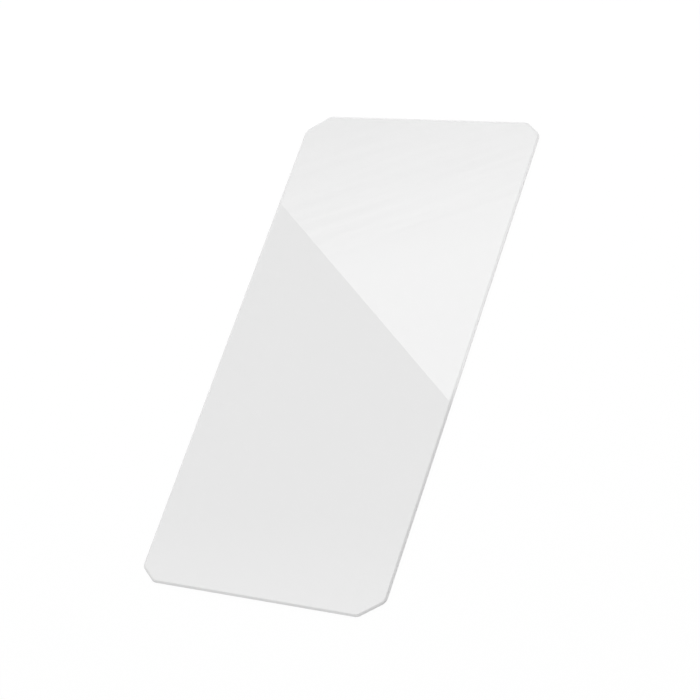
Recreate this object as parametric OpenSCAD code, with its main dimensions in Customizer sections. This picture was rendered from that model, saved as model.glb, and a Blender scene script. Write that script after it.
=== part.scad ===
// Screen protector for a motorcycle display: one thin sheet of clear glass.
// It lies on its back face at z = 0, centred on the origin, with the long way along Y.
// The front face is up, and its edge is ground over to a low round all the way round.

/* [Glass sheet] */
// Width over the two long sides
sheet_width = 72; // [60:0.5:90]
// Length over the two short sides
sheet_length = 140; // [100:0.5:180]
// Thickness of the glass
glass_thickness = 0.5; // [0.4:0.05:1.2]

/* [Cut corners] */
// Length of the larger cuts, at the back left and the front right
large_cut = 8; // [4:0.5:14]
// Length of the smaller cuts, at the back right and the front left
small_cut = 6; // [4:0.5:14]
// Radius in plan where a cut meets a side
vertex_radius = 2.4; // [1.5:0.3:3.6]

/* [Ground edge] */
// How far the round reaches in from the outline, over the front face
round_width = 0.7; // [0.3:0.05:1.2]
// How far the round drops from the front face to the top of the upright wall
round_drop = 0.3; // [0.1:0.05:0.3]
// Small bevel that takes the sharpness off the back edge
back_bevel = 0.05; // [0.02:0.01:0.08]

/* [Hidden] */
$fn = 96;

// A cut slopes 3 along the sheet for 4 across it, so its length is 5 of the same
across_share = 4 / 5;
along_share = 3 / 5;

half_width = sheet_width / 2;
half_length = sheet_length / 2;

// The upright wall ends where the round begins
wall_top = glass_thickness - round_drop;
// Distance from a round's centre in plan to where the front face turns down
flat_reach = vertex_radius - round_width;
// The arc through both ends of the round that runs level into the front face
arc_radius = (pow(round_width, 2) + pow(round_drop, 2)) / (2 * round_drop);

// The two ends of one cut, in anticlockwise order. side_x and side_y say which corner it is
function cut_ends(side_x, side_y, cut) =
    let (
        on_long_side = [side_x * half_width, side_y * (half_length - along_share * cut)],
        on_short_side = [side_x * (half_width - across_share * cut), side_y * half_length]
    )
    side_x * side_y > 0 ? [on_long_side, on_short_side] : [on_short_side, on_long_side];

// The sharp outline, anticlockwise from the back right corner
outline = concat(
    cut_ends(1, 1, small_cut),
    cut_ends(-1, 1, large_cut),
    cut_ends(-1, -1, small_cut),
    cut_ends(1, -1, large_cut)
);
sides = len(outline);

function corner(i) = outline[(i + sides) % sides];

// Side i runs from corner i to the next one, and faces outward to its right
function outward(i) =
    let (along = (corner(i + 1) - corner(i)) / norm(corner(i + 1) - corner(i)))
    [along[1], -along[0]];

// The round at corner i is centred vertex_radius inside both sides that meet there
function round_centre(i) =
    let (before = outward(i - 1), after = outward(i))
    corner(i) - vertex_radius * (before + after) / (1 + before * after);

// Section through the edge, from a round's centre at x = 0 out to the wall
module edge_section() {
    polygon([
        [0, 0],
        [vertex_radius - back_bevel, 0],
        [vertex_radius, back_bevel],
        [vertex_radius, wall_top],
        [flat_reach, wall_top],
        [flat_reach, glass_thickness],
        [0, glass_thickness]
    ]);
    intersection() {
        translate([flat_reach, wall_top])
            square([round_width, 2 * round_drop]);
        translate([flat_reach, glass_thickness - arc_radius])
            circle(r = arc_radius);
    }
}

// The flat middle of the sheet, whose corners are the centres of the rounds
module middle() {
    linear_extrude(height = glass_thickness)
        polygon([for (i = [0 : sides - 1]) round_centre(i)]);
}

// The edge along side i, from one round's centre to the next
module straight_edge(i) {
    facing = atan2(outward(i)[1], outward(i)[0]);
    translate([round_centre(i + 1)[0], round_centre(i + 1)[1], 0])
        rotate([90, 0, facing])
            linear_extrude(height = norm(round_centre(i + 1) - round_centre(i)))
                edge_section();
}

// The same edge turned about the centre of the round at corner i, between its two sides
module turned_edge(i) {
    reach = 2 * vertex_radius;
    before = outward(i - 1);
    after = outward(i);
    translate([round_centre(i)[0], round_centre(i)[1], 0])
        intersection() {
            rotate_extrude()
                edge_section();
            linear_extrude(height = glass_thickness)
                polygon([[0, 0], reach * before, reach * (before + after), reach * after]);
        }
}

module glass_sheet() {
    color("gainsboro", 0.6)
        union() {
            middle();
            for (i = [0 : sides - 1]) {
                straight_edge(i);
                turned_edge(i);
            }
        }
}

glass_sheet();
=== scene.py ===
# %% [markdown]
# # A clear glass protector for a motorcycle display
#
# This notebook dresses one thin sheet of glass and photographs it. The sheet's exact solid was made
# elsewhere and is loaded as a fixed frame, in metres: it lies on its back at z = 0, its long way runs
# along Y, and the edge of its front face is ground over to a low round. The lesson makes the sheet
# again with Geometry Nodes, so that light bends smoothly at its edge, gives it a glass material, and
# sets up the pale studio whose softbox shows in it as a slanting glare.

# %% Load the frame
import math

import bpy
from mathutils import Matrix, Vector


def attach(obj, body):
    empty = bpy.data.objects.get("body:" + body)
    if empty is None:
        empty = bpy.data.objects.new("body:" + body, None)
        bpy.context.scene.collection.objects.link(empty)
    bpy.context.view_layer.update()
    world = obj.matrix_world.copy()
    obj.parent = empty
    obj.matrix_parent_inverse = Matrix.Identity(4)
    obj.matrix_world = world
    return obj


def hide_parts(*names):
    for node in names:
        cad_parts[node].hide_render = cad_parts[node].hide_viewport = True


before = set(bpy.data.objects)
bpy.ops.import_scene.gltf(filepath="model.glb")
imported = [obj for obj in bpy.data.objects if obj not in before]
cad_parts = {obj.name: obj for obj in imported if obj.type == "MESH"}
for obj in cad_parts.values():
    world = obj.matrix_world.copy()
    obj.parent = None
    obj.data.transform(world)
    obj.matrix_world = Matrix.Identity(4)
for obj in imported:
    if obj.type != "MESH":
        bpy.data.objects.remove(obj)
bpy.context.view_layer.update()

MM = 0.001

# %% [markdown]
# ## The camera
#
# The picture was taken from above and from one side with a long lens, and the camera was rolled, so
# the sheet stands at a slant. A camera can be matched by eye over a faint background picture, but a
# plain rectangle allows better: its four sides are straight in the picture and parallel on the real
# thing, and the place and directions below were solved from them. A camera in Blender looks along its
# own -Z with +Y up, so its matrix has the right, up and back directions as columns. Nothing is
# shifted and depth of field stays off.

# %% Camera
LENS_MM = 111.65
SENSOR_MM = 36.0
camera_place = Vector((0.29507, -0.20098, 0.42901))
looks_along = Vector((-0.526134, 0.360584, -0.770170)).normalized()
up_in_picture = Vector((-0.081505, 0.880104, 0.467733))

right_in_picture = looks_along.cross(up_in_picture).normalized()
up_in_picture = right_in_picture.cross(looks_along)
turn = Matrix((right_in_picture, up_in_picture, -looks_along)).transposed()

lens = bpy.data.cameras.new("picture_camera")
lens.lens = LENS_MM
lens.sensor_width = SENSOR_MM
lens.clip_start, lens.clip_end = 0.01, 50.0
camera = bpy.data.objects.new("picture_camera", lens)
bpy.context.collection.objects.link(camera)
camera.matrix_world = Matrix.Translation(camera_place) @ turn.to_4x4()
bpy.context.scene.camera = camera
elevation = math.degrees(math.asin(-looks_along.z))
print(f"camera {camera_place.length:.3f} m away, looking down at {elevation:.1f} degrees")

# %% [markdown]
# ## The sizes of the sheet
#
# These repeat the sizes of the solid, so that the skin that is made here covers it exactly. The long
# sides are 72 mm apart and the short ones 140 mm. Each corner is cut off by a slope that runs 3 along
# the sheet for every 4 across it, and two corners on one diagonal lose more than the other two. The
# points where a cut meets a side are eased with a small radius. The ground edge drops 0.3 mm over
# 0.7 mm, which leaves an upright wall of 0.2 mm.

# %% Sizes
SHEET_WIDTH = 72 * MM
SHEET_LENGTH = 140 * MM
GLASS_THICKNESS = 0.5 * MM
LARGE_CUT = 8 * MM
SMALL_CUT = 6 * MM
VERTEX_RADIUS = 2.4 * MM
ROUND_WIDTH = 0.7 * MM
ROUND_DROP = 0.3 * MM
BACK_BEVEL = 0.05 * MM
ACROSS_SHARE, ALONG_SHARE = 4 / 5, 3 / 5
print(f"upright wall {(GLASS_THICKNESS - ROUND_DROP) / MM:.2f} mm high")

# %% [markdown]
# ## A small helper for node trees
#
# A node tree that is built in a script soon fills with lines that only add a node and join two
# sockets. This class keeps those lines short: `add` makes a node and sets or links its inputs, `sum`,
# `difference` and `product` make the arithmetic read as arithmetic, and `ramp` goes from one value to
# another. It serves the geometry tree, the materials and the world alike.

# %% Node helper
class Bench:
    """A node tree with short ways to add nodes to it."""

    def __init__(self, tree):
        self.tree = tree

    def add(self, kind, inputs=None, **settings):
        node = self.tree.nodes.new(kind)
        for name, value in settings.items():
            setattr(node, name, value)
        for name, value in (inputs or {}).items():
            self.put(node.inputs[name], value)
        return node

    def put(self, socket, value):
        if isinstance(value, bpy.types.NodeSocket):
            self.tree.links.new(value, socket)
        else:
            socket.default_value = value

    def maths(self, operation, *values):
        node = self.add("ShaderNodeMath", operation=operation)
        for socket, value in zip(node.inputs, values):
            self.put(socket, value)
        return node.outputs[0]

    def sum(self, a, b):
        return self.maths("ADD", a, b)

    def difference(self, a, b):
        return self.maths("SUBTRACT", a, b)

    def product(self, a, b):
        return self.maths("MULTIPLY", a, b)

    def point(self, x=0.0, y=0.0, z=0.0):
        return self.add("ShaderNodeCombineXYZ", {"X": x, "Y": y, "Z": z}).outputs[0]

    def ramp(self, value, start, end, low, high, eased=False):
        """Low up to start, high from end on, and straight or eased between them."""
        ends = {"Value": value, "From Min": start, "From Max": end, "To Min": low, "To Max": high}
        kind = "SMOOTHSTEP" if eased else "LINEAR"
        return self.add("ShaderNodeMapRange", ends, interpolation_type=kind).outputs[0]


# %% [markdown]
# ## The tree that grinds the sheet
#
# On the real thing a scribed and snapped blank is run past a profiled wheel, which grinds the same
# round on every side and every corner. A modeller could bevel a flat plate, but a bevel this wide
# meets the eased corners badly. Geometry Nodes can do what the wheel does: one profile follows one
# outline. The group takes every size as a named input.

# %% Tree and its inputs
grind = bpy.data.node_groups.new("grind_sheet", "GeometryNodeTree")
grind.is_modifier = True
grind.interface.new_socket("Geometry", in_out="OUTPUT", socket_type="NodeSocketGeometry")
grind.interface.new_socket("Geometry", in_out="INPUT", socket_type="NodeSocketGeometry")
for name in (
    "Sheet Width", "Sheet Length", "Glass Thickness", "Large Cut", "Small Cut",
    "Vertex Radius", "Round Width", "Round Drop", "Back Bevel",
):
    grind.interface.new_socket(name, in_out="INPUT", socket_type="NodeSocketFloat")
for name in ("Polished Glass", "Ground Glass"):
    grind.interface.new_socket(name, in_out="INPUT", socket_type="NodeSocketMaterial")
g = Bench(grind)
given = g.add("NodeGroupInput").outputs
print("inputs:", [s.name for s in given if s.name])

# %% [markdown]
# ### A curve through chosen points
#
# The outline and the section are both short rows of points that are worked out from the sizes. Curve
# primitives only give regular shapes, so this helper starts from a plain mesh with as many vertices,
# lets an Index Switch hand every vertex its own point, and turns the moved mesh into a curve.

# %% Curve through points
def curve_through(points, plain_mesh):
    """A curve through the points, bent from a mesh that has one vertex for each."""
    own_point = g.add("GeometryNodeIndexSwitch", data_type="VECTOR")
    while len(own_point.index_switch_items) < len(points):
        own_point.index_switch_items.new()
    g.put(own_point.inputs["Index"], g.add("GeometryNodeInputIndex").outputs[0])
    for i, point in enumerate(points):
        g.put(own_point.inputs[str(i)], point)
    bent = g.add(
        "GeometryNodeSetPosition",
        {"Geometry": plain_mesh.outputs[0], "Position": own_point.outputs[0]},
    )
    return g.add("GeometryNodeMeshToCurve", {"Mesh": bent.outputs[0]}).outputs[0]


# %% [markdown]
# ### The outline
#
# Eight points make the sharp outline, anticlockwise from the back right corner. Each corner of the
# full rectangle gives two of them, one on its long side and one on its short side. An eight-sided
# ring takes them. Fillet Curve then eases each point with an arc, which is exact where it touches the
# sides.

# %% Outline
half_width = g.product(given["Sheet Width"], 0.5)
half_length = g.product(given["Sheet Length"], 0.5)


def cut_point(side_x, side_y, cut, on_long_side):
    """One end of the cut at the corner on side_x and side_y."""
    x, y = half_width, half_length
    if on_long_side:
        y = g.difference(half_length, g.product(cut, ALONG_SHARE))
    else:
        x = g.difference(half_width, g.product(cut, ACROSS_SHARE))
    return g.point(g.product(x, side_x), g.product(y, side_y))


large, small = given["Large Cut"], given["Small Cut"]
outline_points = [
    cut_point(side_x, side_y, cut, on_long_side == (side_x * side_y > 0))
    for side_x, side_y, cut in ((1, 1, small), (-1, 1, large), (-1, -1, small), (1, -1, large))
    for on_long_side in (True, False)
]
ring = g.add("GeometryNodeMeshCircle", {"Vertices": len(outline_points)}, fill_type="NONE")
sharp_outline = curve_through(outline_points, ring)
ARC_STEPS = 16
outline = g.add(
    "GeometryNodeFilletCurve",
    {"Curve": sharp_outline, "Count": ARC_STEPS, "Radius": given["Vertex Radius"]},
    mode="POLY",
)
print(len(outline_points), "outline points, each eased in", ARC_STEPS, "steps")

# %% [markdown]
# ### The profile
#
# The profile is the section through the edge: the small back bevel, the upright wall, the arc, and a
# narrow flat strip of the front face. The arc has one rule: it runs level into the face and passes
# through both ends, which fixes its radius. The flat strip is there for the shading alone. It keeps
# the tilted normals of the arc away from the big front face, which would otherwise show a false bulge
# all over.

# %% Profile
ROUND_STEPS = 14
FLAT_STRIP = 0.15 * MM
width, drop, thickness = given["Round Width"], given["Round Drop"], given["Glass Thickness"]
bevel = given["Back Bevel"]
squares = g.sum(g.product(width, width), g.product(drop, drop))
arc_radius = g.maths("DIVIDE", squares, g.product(drop, 2))
arc_low = g.difference(thickness, arc_radius)
end_tilt = g.maths("ARCSINE", g.maths("DIVIDE", width, arc_radius))


def section_point(inward, height):
    """A point of the section, turned over because Curve to Mesh lays a profile's Y downward."""
    return g.point(inward, g.product(height, -1))


section = [
    section_point(g.product(bevel, -1), 0),
    section_point(0, bevel),
    section_point(0, g.difference(thickness, drop)),
]
for step in range(1, ROUND_STEPS + 1):
    tilt = g.product(end_tilt, 1 - step / ROUND_STEPS)
    inward = g.difference(g.product(arc_radius, g.maths("SINE", tilt)), width)
    height = g.sum(arc_low, g.product(arc_radius, g.maths("COSINE", tilt)))
    section.append(section_point(inward, height))
section.append(section_point(g.difference(g.product(width, -1), FLAT_STRIP), thickness))

row = g.add("GeometryNodeMeshLine", {"Count": len(section)})
profile = curve_through(section, row)
print(len(section), "points in the section")

# %% [markdown]
# ### Sweep, fill and close
#
# Curve to Mesh carries the profile round the outline. That leaves two open rims, one under the sheet
# and one on its front. The rim edges are those with a single face, so each rim can be picked out by
# its height, made a curve again and filled flat. Merging the touching points closes the skin.

# %% Sweep and fill
inside_out = g.add(
    "GeometryNodeCurveToMesh",
    {"Curve": outline.outputs[0], "Profile Curve": profile},
)
swept = g.add("GeometryNodeFlipFaces", {"Mesh": inside_out.outputs[0]})
here = g.add("ShaderNodeSeparateXYZ", {0: g.add("GeometryNodeInputPosition").outputs[0]})
half_way = g.product(thickness, 0.5)
faces_beside = g.add("GeometryNodeInputMeshEdgeNeighbors").outputs[0]
at_rim = g.maths("COMPARE", faces_beside, 1.0)
is_front = g.maths("GREATER_THAN", here.outputs["Z"], half_way)


def filled_rim(chosen, height):
    rim = g.add("GeometryNodeMeshToCurve", {"Mesh": swept.outputs[0], "Selection": chosen})
    flat = g.add("GeometryNodeFillCurve", {"Curve": rim.outputs[0]}, mode="NGONS")
    return g.add(
        "GeometryNodeTransform",
        {"Geometry": flat.outputs[0], "Translation": g.point(0, 0, height)},
    ).outputs[0]


front_rim = g.product(at_rim, is_front)
back_rim = g.product(at_rim, g.difference(1.0, is_front))
front = filled_rim(front_rim, thickness)
back = g.add("GeometryNodeFlipFaces", {"Mesh": filled_rim(back_rim, 0.0)}).outputs[0]

joined = g.add("GeometryNodeJoinGeometry")
for part in (back, front, swept.outputs[0]):
    g.tree.links.new(part, joined.inputs[0])
TOUCHING = 0.002 * MM
closed = g.add("GeometryNodeMergeByDistance", {"Geometry": joined.outputs[0], "Distance": TOUCHING})
print(f"points closer than {TOUCHING / MM:.3f} mm are merged")

# %% [markdown]
# ### Two finishes and the end of the tree
#
# Every face is shaded smooth except across real creases, where two faces meet at more than 25
# degrees. The wheel leaves the edge duller than the two polished faces, so the skin needs two
# materials: faces within 10 degrees of level are polished, and every other face is ground. Realize
# Instances and Set Material end the tree.

# %% Smooth, realize and finish
CREASE_FROM = 25.0
smooth = g.add(
    "GeometryNodeSetShadeSmooth",
    {"Geometry": closed.outputs[0], "Shade Smooth": True},
    domain="FACE",
)
turn_at_edge = g.add("GeometryNodeInputMeshEdgeAngle").outputs["Unsigned Angle"]
creased = g.add(
    "GeometryNodeSetShadeSmooth",
    {
        "Geometry": smooth.outputs[0],
        "Selection": g.maths("GREATER_THAN", turn_at_edge, math.radians(CREASE_FROM)),
        "Shade Smooth": False,
    },
    domain="EDGE",
)
real = g.add("GeometryNodeRealizeInstances", {"Geometry": creased.outputs[0]})
all_polished = g.add(
    "GeometryNodeSetMaterial", {"Geometry": real.outputs[0], "Material": given["Polished Glass"]}
)
GROUND_FROM = 10.0
normal = g.add("ShaderNodeSeparateXYZ", {0: g.add("GeometryNodeInputNormal").outputs[0]})
up_or_down = g.maths("ABSOLUTE", normal.outputs["Z"])
is_ground = g.maths("LESS_THAN", up_or_down, math.cos(math.radians(GROUND_FROM)))
finished = g.add(
    "GeometryNodeSetMaterial",
    {"Geometry": all_polished.outputs[0], "Selection": is_ground, "Material": given["Ground Glass"]},
)
g.add("NodeGroupOutput", {"Geometry": finished.outputs[0]})
print(len(grind.nodes), "nodes in the tree")

# %% [markdown]
# ## The polished glass
#
# The two large faces of the real sheet are polished, clear and very slightly smoky. A Glass shader
# would do for one picture, but the Principled shader with full transmission and the usual index of
# 1.5 looks the same and keeps its values in an exported model. What makes it a finished material is
# its surface: it is polished but never perfectly clean, so a slow noise lifts the roughness a trace
# where a thumb has been. The pale grey takes a little light at each face.

# %% Polished glass
FACE_TINT = 0.877
GLASS_IOR = 1.5
SMEARS_A_METRE = 38.0
SMEAR_ROUGH = 0.012


def fresh_material(name):
    """A material with an empty tree, and the bench to build it on."""
    material = bpy.data.materials.new(name)
    material.use_nodes = True
    material.node_tree.nodes.clear()
    return material, Bench(material.node_tree)


polished, m = fresh_material("polished_glass")
place = m.add("ShaderNodeTexCoord").outputs["Object"]
smear = m.add(
    "ShaderNodeTexNoise",
    {
        "Vector": place,
        "Scale": SMEARS_A_METRE,
        "Detail": 3.0,
        "Roughness": 0.55,
        "Distortion": 0.6,
    },
).outputs["Fac"]
shader = m.add(
    "ShaderNodeBsdfPrincipled",
    {
        "Base Color": (FACE_TINT, FACE_TINT, FACE_TINT, 1),
        "Roughness": m.ramp(smear, 0.35, 0.75, 0.0, SMEAR_ROUGH),
        "IOR": GLASS_IOR,
        "Transmission Weight": 1.0,
    },
)
m.add("ShaderNodeOutputMaterial", {"Surface": shader.outputs[0]})
print(f"{polished.name}: two faces let {FACE_TINT:.2f} of the light through, less what they mirror")

# %% [markdown]
# ## The ground glass
#
# A wheel with fine grit leaves millions of tiny facets, so the band scatters the light: part of it
# comes back out as a soft grey, and part passes through. Rough clear glass alone would let all of it
# through and look as pale as the faces, so the transmission is partial here. The last wheel is fine
# enough to leave a smooth skin over the pits, which is a coat in the shader. The coat mirrors its
# surroundings softly, so the edge turns pale where it faces something bright. The grit is far too
# fine to be seen as relief, so a fine noise in the roughness stands for it.

# %% Ground glass
GROUND_TINT = 0.73
GROUND_CLEAR = 0.28
GRAINS_A_METRE = 4000.0
FINE_ROUGH, COARSE_ROUGH = 0.45, 0.60
COAT_IOR = 1.8
COAT_ROUGH = 0.05

ground, m = fresh_material("ground_glass")
place = m.add("ShaderNodeTexCoord").outputs["Object"]
grit = m.add(
    "ShaderNodeTexNoise",
    {"Vector": place, "Scale": GRAINS_A_METRE, "Detail": 2.0, "Roughness": 0.6},
).outputs["Fac"]
shader = m.add(
    "ShaderNodeBsdfPrincipled",
    {
        "Base Color": (GROUND_TINT, GROUND_TINT, GROUND_TINT, 1),
        "Roughness": m.ramp(grit, 0.3, 0.7, FINE_ROUGH, COARSE_ROUGH),
        "IOR": GLASS_IOR,
        "Transmission Weight": GROUND_CLEAR,
        "Coat Weight": 1.0,
        "Coat Roughness": COAT_ROUGH,
        "Coat IOR": COAT_IOR,
    },
)
m.add("ShaderNodeOutputMaterial", {"Surface": shader.outputs[0]})
print(f"{ground.name}: {GROUND_CLEAR:.0%} of the light passes through, the rest is scattered back")

# %% [markdown]
# ## Making the sheet
#
# The tree runs as a modifier on an empty mesh. Its inputs are set through their identifiers before
# the object is first evaluated. The modifier could stay live, but the frame and the export need plain
# geometry, so the evaluated result is kept as a mesh and the modifier goes. The finished sheet then
# stands for the solid of the frame.

# %% Sheet
maker = bpy.data.objects.new("sheet_maker", bpy.data.meshes.new("sheet_maker"))
bpy.context.collection.objects.link(maker)
modifier = maker.modifiers.new("grind", "NODES")
modifier.node_group = grind
sizes = {
    "Sheet Width": SHEET_WIDTH, "Sheet Length": SHEET_LENGTH, "Glass Thickness": GLASS_THICKNESS,
    "Large Cut": LARGE_CUT, "Small Cut": SMALL_CUT, "Vertex Radius": VERTEX_RADIUS,
    "Round Width": ROUND_WIDTH, "Round Drop": ROUND_DROP, "Back Bevel": BACK_BEVEL,
    "Polished Glass": polished, "Ground Glass": ground,
}
for item in grind.interface.items_tree:
    if item.in_out == "INPUT" and item.name in sizes:
        modifier[item.identifier] = sizes[item.name]
ready = maker.evaluated_get(bpy.context.evaluated_depsgraph_get())
skin = bpy.data.meshes.new_from_object(ready)
skin.name = "glass_sheet_skin"
while skin.materials[0] is None:
    skin.materials.pop(index=0)
maker.modifiers.remove(modifier)
bpy.data.objects.remove(maker)
sheet = bpy.data.objects.new("glass_sheet_skin", skin)
bpy.context.collection.objects.link(sheet)
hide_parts("glass_sheet")
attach(sheet, "root")
finishes = [material.name for material in skin.materials]
print(len(skin.vertices), "points,", len(skin.polygons), "faces, finished in", finishes)

# %% [markdown]
# ## Light that is seen and light that is felt
#
# A white studio has two jobs that pull against each other. It has to look white, and it must not
# flood the object with light. Cycles tells the two apart: the Light Path node knows whether a ray
# comes from the camera, from a mirror image or through glass, and those rays look at the studio
# directly. All other rays only gather light. This helper gives 1 for the first kind and 0 for the
# second, and both the table and the room use it.

# %% Seen directly
def seen_directly(bench):
    """1 for a ray of the camera, of a mirror image or through glass, and 0 for all others."""
    path = bench.add("ShaderNodeLightPath").outputs
    by_glass = bench.sum(path["Is Glossy Ray"], path["Is Transmission Ray"])
    return bench.maths("MINIMUM", bench.sum(path["Is Camera Ray"], by_glass), 1.0)


def flat_board(name, outline_xy, height, material):
    """A level board, which is part of the studio and not of the object."""
    shape = bpy.data.meshes.new(name)
    shape.from_pydata([(x, y, height) for x, y in outline_xy], [], [tuple(range(len(outline_xy)))])
    shape.materials.append(material)
    board = bpy.data.objects.new(name, shape)
    bpy.context.collection.objects.link(board)
    print(f"{name}: {len(outline_xy)} corners, {height / MM:.2f} mm above the origin")


# %% [markdown]
# ## The table
#
# The sheet lies on a white table. A painted board alone would need much more light to look white,
# and a fully glowing one would show no shadow. So where the table is seen directly, most of its white
# is its own, and the rest is plain white paint, which takes the sheet's faint shadow. Farther out its
# own share grows to all of it, so the table fades into the white wall without a line. It lies a hair
# below the sheet, because two flat things never quite touch, and that hair of air is what the back
# face mirrors.

# %% Table
AIR_GAP = 0.02 * MM
TABLE_REACH = 6.0
OWN_SHARE = 0.93
PAINT = 0.98
FADE_FROM, FADE_TO = 0.3, 1.2

table_white, t = fresh_material("table_white")
place = t.add("ShaderNodeTexCoord").outputs["Object"]
from_middle = t.add("ShaderNodeVectorMath", {0: place}, operation="LENGTH").outputs["Value"]
own_share = t.ramp(from_middle, FADE_FROM, FADE_TO, OWN_SHARE, 1.0, eased=True)
paint = t.add("ShaderNodeBsdfDiffuse", {"Color": (PAINT, PAINT, PAINT, 1)})
own_white = t.add("ShaderNodeEmission", {"Color": (1, 1, 1, 1), "Strength": 1.0})
blend = t.add(
    "ShaderNodeMixShader",
    {0: t.product(seen_directly(t), own_share), 1: paint.outputs[0], 2: own_white.outputs[0]},
)
t.add("ShaderNodeOutputMaterial", {"Surface": blend.outputs[0]})

far = TABLE_REACH
flat_board("table_top", [(-far, -far), (far, -far), (far, far), (-far, far)], -AIR_GAP, table_white)

# %% [markdown]
# ## The room
#
# A light tent has white walls and a grey ceiling. It could be built of boards, but the world can draw
# it with no geometry: white at the horizon and a plain grey higher up. The flat glass mirrors the
# grey ceiling. The far edges of the sheet lean away from the camera and mirror the white wall, which
# is why they melt into the background. The light that is only felt is one even grey.

# %% Room
CEILING_GREY = 0.35
ROOM_LIGHT = 0.60
WALL_TOP, CEILING_START = 0.50, 0.70

room = bpy.data.worlds.new("light_tent")
bpy.context.scene.world = room
room.use_nodes = True
room.node_tree.nodes.clear()
w = Bench(room.node_tree)
direction = w.add("ShaderNodeTexCoord").outputs["Generated"]
upward = w.add("ShaderNodeSeparateXYZ", {0: direction}).outputs["Z"]
tent = w.ramp(upward, WALL_TOP, CEILING_START, 1.0, CEILING_GREY, eased=True)
seen = seen_directly(w)
strength = w.sum(w.product(seen, tent), w.product(w.difference(1.0, seen), ROOM_LIGHT))
background = w.add("ShaderNodeBackground", {"Color": (1, 1, 1, 1), "Strength": strength})
w.add("ShaderNodeOutputWorld", {"Surface": background.outputs[0]})
print(f"walls white up to {math.degrees(math.asin(WALL_TOP)):.0f} degrees, ceiling grey {CEILING_GREY}")

# %% [markdown]
# ## Drawing on the ceiling
#
# The slanting line over the sheet is the straight side of a large softbox, mirrored in the glass. A
# board that hangs level above a level mirror shows in it as a scaled drawing: each point of the
# sheet mirrors one point of the board, at one scale about the camera. So a softbox can be drawn on
# the sheet first and carried up to the ceiling with `on_ceiling`. `drawn_place` does the reverse
# inside a material: it says where on the sheet a point of the board is mirrored.

# %% Mirror scale
CEILING = 0.60
camera_above_glass = camera_place.z - GLASS_THICKNESS
MIRROR_SCALE = (camera_above_glass + CEILING - GLASS_THICKNESS) / camera_above_glass
print(f"a board {CEILING} m up is mirrored at 1 to {MIRROR_SCALE:.3f}")


def on_ceiling(x_mm, y_mm):
    """The ceiling point that the front face shows at x and y, in mm."""
    eye = Vector(camera_place[:2])
    return tuple(eye + (Vector((x_mm, y_mm)) * MM - eye) * MIRROR_SCALE)


def drawn_place(bench):
    """The board's own X and Y, then the X and Y on the sheet where they are mirrored."""
    place = bench.add("ShaderNodeTexCoord").outputs["Object"]
    spot = bench.add("ShaderNodeSeparateXYZ", {0: place}).outputs
    on_sheet = [
        bench.sum(bench.product(spot[axis], 1 / MIRROR_SCALE), eye * (1 - 1 / MIRROR_SCALE))
        for axis, eye in (("X", camera_place.x), ("Y", camera_place.y))
    ]
    return spot["X"], spot["Y"], *on_sheet


def in_mirrors(bench):
    """1 in a mirror image and 0 everywhere else."""
    return bench.add("ShaderNodeLightPath").outputs["Is Glossy Ray"]


def glowing_gauze(bench, strength):
    """A cloth that adds its light to whatever hangs behind it."""
    glow = bench.add("ShaderNodeEmission", {"Color": (1, 1, 1, 1), "Strength": strength})
    clear = bench.add("ShaderNodeBsdfTransparent")
    both = bench.add("ShaderNodeAddShader", {0: glow.outputs[0], 1: clear.outputs[0]})
    bench.add("ShaderNodeOutputMaterial", {"Surface": both.outputs[0]})


# %% [markdown]
# ### The softbox
#
# The glare could be painted on the glass, but then it would stay where it is when the camera moves.
# A glowing board above the sheet is mirrored as on the real thing. Its cloth glows fully near the
# slanting side and fades towards the back, so the glare fades towards the back of the sheet too. The
# cloth hangs in long soft folds, which show as faint streaks in the fading part. Two more glows are
# there for mirror images alone, because only the coat of the ground edge is turned towards them: one
# to the right, which makes the edge pale beside the glare, and one at the back, where the cloth meets
# the white wall.

# %% Softbox
GLARE_LIGHT = 1.2
SLANT = 0.375
FULL_BEFORE, GONE_AFTER = 20 * MM, 104 * MM

softbox_cloth, c = fresh_material("softbox_cloth")
board_x, board_y, sheet_x, sheet_y = drawn_place(c)
towards_back = c.difference(sheet_y, c.product(sheet_x, SLANT))
glare = c.ramp(towards_back, FULL_BEFORE, GONE_AFTER, GLARE_LIGHT, 0.0)
print(f"full glare up to {FULL_BEFORE / MM:.0f} mm, none after {GONE_AFTER / MM:.0f} mm")

# %% Folds in the softbox
FOLD_TURN = math.radians(23.6)
FOLDS_A_METRE, FOLD_BREAKS_A_METRE = 400, 22
FOLDS_FROM, FOLDS_TO = 22 * MM, 32 * MM
FOLD_DEPTH = 0.19

along = c.sum(c.product(sheet_x, math.cos(FOLD_TURN)), c.product(sheet_y, math.sin(FOLD_TURN)))
across = c.difference(c.product(sheet_y, math.cos(FOLD_TURN)), c.product(sheet_x, math.sin(FOLD_TURN)))
drawn_out = c.point(c.product(along, FOLD_BREAKS_A_METRE), c.product(across, FOLDS_A_METRE))
folds = c.add("ShaderNodeTexNoise", {"Vector": drawn_out, "Scale": 1.0, "Detail": 3.0}).outputs["Fac"]
depth = c.ramp(across, FOLDS_FROM, FOLDS_TO, 0.0, FOLD_DEPTH)
hills = c.ramp(folds, 0.3, 0.7, -1.0, 1.0)
glare = c.product(glare, c.sum(1.0, c.product(hills, depth)))
print(f"folds {1 / FOLDS_A_METRE / MM:.1f} mm apart, turned {math.degrees(FOLD_TURN):.1f} degrees")

# %% Glows for the edge
RIGHT_FROM, RIGHT_FULL, RIGHT_TIMES = -0.30, -0.12, 0.2
FAR_RIGHT_FROM, FAR_RIGHT_FULL, FAR_RIGHT_TIMES = 0.10, 0.50, 0.9
BACK_FROM, BACK_FULL, BACK_TIMES = 0.25, 0.60, 0.3
WALL_GLOW = 0.80
WALL_GLOW_FROM, WALL_GLOW_FULL = 110 * MM, 160 * MM

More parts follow.
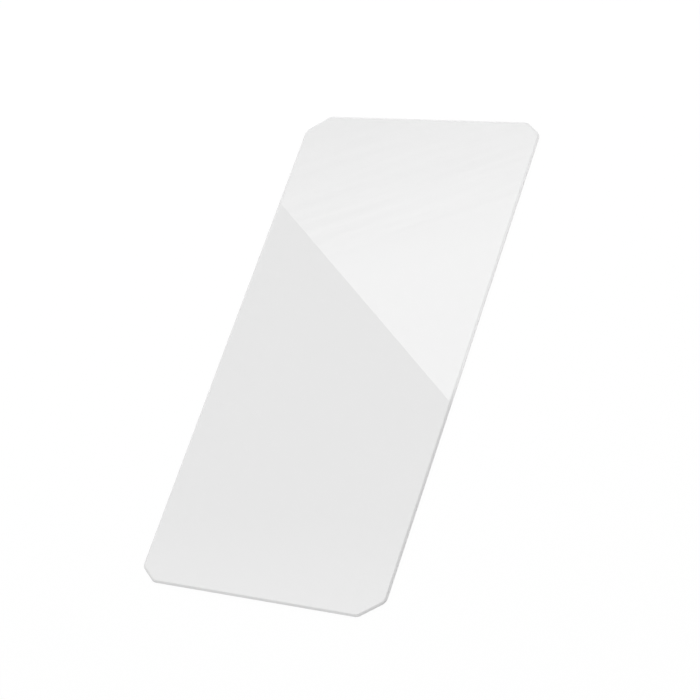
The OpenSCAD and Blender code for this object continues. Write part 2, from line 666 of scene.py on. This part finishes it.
right = c.sum(
    c.ramp(board_x, RIGHT_FROM, RIGHT_FULL, 0.0, RIGHT_TIMES, eased=True),
    c.ramp(board_x, FAR_RIGHT_FROM, FAR_RIGHT_FULL, 0.0, FAR_RIGHT_TIMES, eased=True),
)
towards_wall = c.ramp(board_y, BACK_FROM, BACK_FULL, 1.0, BACK_TIMES)
right_glow = c.product(glare, c.product(right, towards_wall))
wall_glow = c.ramp(sheet_y, WALL_GLOW_FROM, WALL_GLOW_FULL, 0.0, WALL_GLOW, eased=True)
mirrored_glow = c.product(c.sum(right_glow, wall_glow), in_mirrors(c))
glowing_gauze(c, c.sum(glare, mirrored_glow))
print(f"the wall glow is full beyond {WALL_GLOW_FULL / MM:.0f} mm")

# %% [markdown]
# ### Hanging the softbox
#
# The straight side has its two ends carried up from the sheet. The other corners are out of the flat
# face's sight, and only the round of the edge mirrors them.

# %% Softbox board
line_start, line_end = on_ceiling(35.61, -11.83), on_ceiling(-95.0, 86.5)
softbox_corners = [
    line_start, (-0.10, 0.219), (0.25, 0.228), (0.70, 0.325), (1.15, 0.46), (1.35, 0.70),
    (1.25, 1.10), (-0.40, 1.10), (-0.70, 0.90), line_end,
]
flat_board("softbox", softbox_corners, CEILING, softbox_cloth)

# %% [markdown]
# ### A soft fill at the front
#
# The sheet is a trace paler towards its front edge. A second cloth does that: it has no light where
# its own edge is mirrored and gets slowly brighter, so no line shows. In mirror images it reaches far
# to the front, where the round of the front edge is turned towards it.

# %% Fill
FILL_LIGHT = 0.36
FILL_SLANT = 0.1
FILL_FROM, FILL_FULL = 48 * MM, 75 * MM
FILL_BELOW_SOFTBOX = 1 * MM
FRONT_GLOW = 0.6
FRONT_GLOW_FROM, FRONT_GLOW_FULL = 110 * MM, 150 * MM

fill_cloth, c = fresh_material("fill_cloth")
_, _, sheet_x, sheet_y = drawn_place(c)
towards_front = c.difference(c.product(sheet_x, FILL_SLANT), sheet_y)
fill = c.ramp(towards_front, FILL_FROM, FILL_FULL, 0.0, FILL_LIGHT)
far_front = c.ramp(towards_front, FRONT_GLOW_FROM, FRONT_GLOW_FULL, 0.0, 1.0)
front_glow = c.product(c.product(far_front, FRONT_GLOW), in_mirrors(c))
glowing_gauze(c, c.sum(c.product(fill, c.difference(1.0, far_front)), front_glow))

fill_drawn = ((-85, -40), (-150, -150), (-150, -520), (260, -520), (260, -150), (85, -40))
fill_corners = [on_ceiling(x, y) for x, y in fill_drawn]
flat_board("fill", fill_corners, CEILING - FILL_BELOW_SOFTBOX, fill_cloth)

# %% [markdown]
# ## The key lamp
#
# One broad lamp, low behind the left corner, brings the light up to a plain level. A lamp from the
# front would light all sides of the edge alike. From behind, the sides that face the lamp are pale
# and those that face the camera are grey, because the ground edge scatters the light. The lamp would
# be mirrored as a bright disc, so it is hidden from mirror images and from glass.

# %% Key lamp
KEY_WATTS = 13.0
KEY_WIDTH = 0.9
KEY_PLACE = Vector((-0.85, 0.95, 0.60))

broad_lamp = bpy.data.lights.new("broad_lamp", "AREA")
broad_lamp.shape = "DISK"
broad_lamp.size = KEY_WIDTH
broad_lamp.energy = KEY_WATTS
key = bpy.data.objects.new("broad_lamp", broad_lamp)
bpy.context.collection.objects.link(key)
key.location = KEY_PLACE
key.rotation_euler = (-KEY_PLACE).to_track_quat("-Z", "Y").to_euler()
key.visible_glossy = False
key.visible_transmission = False
key_height = math.degrees(math.asin(KEY_PLACE.z / KEY_PLACE.length))
print(f"key lamp {key_height:.0f} degrees above the table, {KEY_PLACE.length:.2f} m away")

# %% [markdown]
# ## The picture
#
# The Standard view transform shows each colour as it is made.

# %% Picture
bpy.context.scene.view_settings.view_transform = "Standard"
